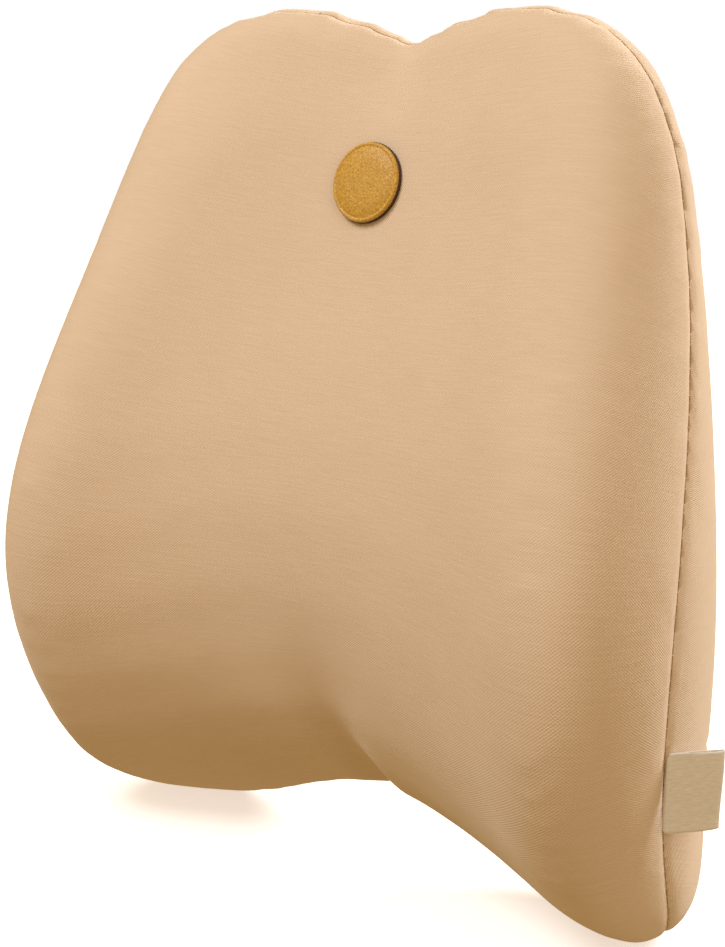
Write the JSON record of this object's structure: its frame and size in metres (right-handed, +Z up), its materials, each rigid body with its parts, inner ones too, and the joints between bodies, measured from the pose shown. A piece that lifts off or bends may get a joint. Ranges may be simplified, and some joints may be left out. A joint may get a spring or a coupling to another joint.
{
  "type": "lumbar support cushion",
  "caption": "Contoured foam lumbar cushion with winged sides, a zipped knit cover, a round leather badge and a buckled elastic strap for a chair back.",
  "frame": {"origin": "on the surface that the cushion stands on, under the middle of its bounding box", "axes": "+Z up, +Y out of the back panel that rests on the chair, -Y out of the concave front, X across the cushion"},
  "size_m": [0.3685, 0.1509, 0.4074],
  "materials": {
    "cover_fabric": "matte",
    "liner_fabric": "matte",
    "foam": "matte",
    "zip_tape": "matte",
    "zip_coil": "satin",
    "zip_metal": "satin",
    "badge_leather": "satin",
    "badge_edge": "matte",
    "label_ribbon": "satin",
    "webbing": "matte",
    "buckle_plastic": "satin"
  },
  "bodies": {
    "cushion": {"front_cover": "cover_fabric", "back_cover_upper": "cover_fabric", "back_cover_lower": "cover_fabric", "inner_liner": "liner_fabric", "foam_core": "foam", "zip_tape_upper": "zip_tape", "zip_tape_lower": "zip_tape", "zip_teeth_upper": "zip_coil", "zip_teeth_lower": "zip_coil", "zip_top_stops": "zip_metal", "zip_end_stop": "zip_metal", "badge_face": "badge_leather", "badge_backing": "badge_edge", "side_label": "label_ribbon", "strap_left": "webbing", "strap_right": "webbing", "strap_patch_left": "cover_fabric", "strap_patch_right": "cover_fabric", "buckle_socket": "buckle_plastic"},
    "slider": {"zip_slider": "zip_metal"},
    "pull": {"zip_pull": "zip_metal"},
    "plug": {"buckle_plug": "buckle_plastic"},
    "adjuster": {"strap_adjuster": "buckle_plastic"}
  },
  "joints": [
    {"name": "zip_slide", "type": "slide", "parent": "cushion", "child": "slider", "axis": [1, 0, 0], "range_m": [0, 0.228], "deforming": ["zip_teeth_upper", "zip_teeth_lower"]},
    {"name": "pull_hinge", "type": "hinge", "parent": "slider", "child": "pull", "pos_m": [-0.118, 0.07322, 0.09937], "axis": [0, -0.1247, 0.9922], "range_deg": [0, 165]},
    {"name": "buckle_release", "type": "slide", "parent": "cushion", "child": "plug", "axis": [1, 0, 0], "range_m": [0, 0.036], "deforming": ["strap_left"]},
    {"name": "strap_adjust", "type": "slide", "parent": "cushion", "child": "adjuster", "axis": [1, 0, 0], "range_m": [0, 0.022], "deforming": ["strap_right"]}
  ]
}
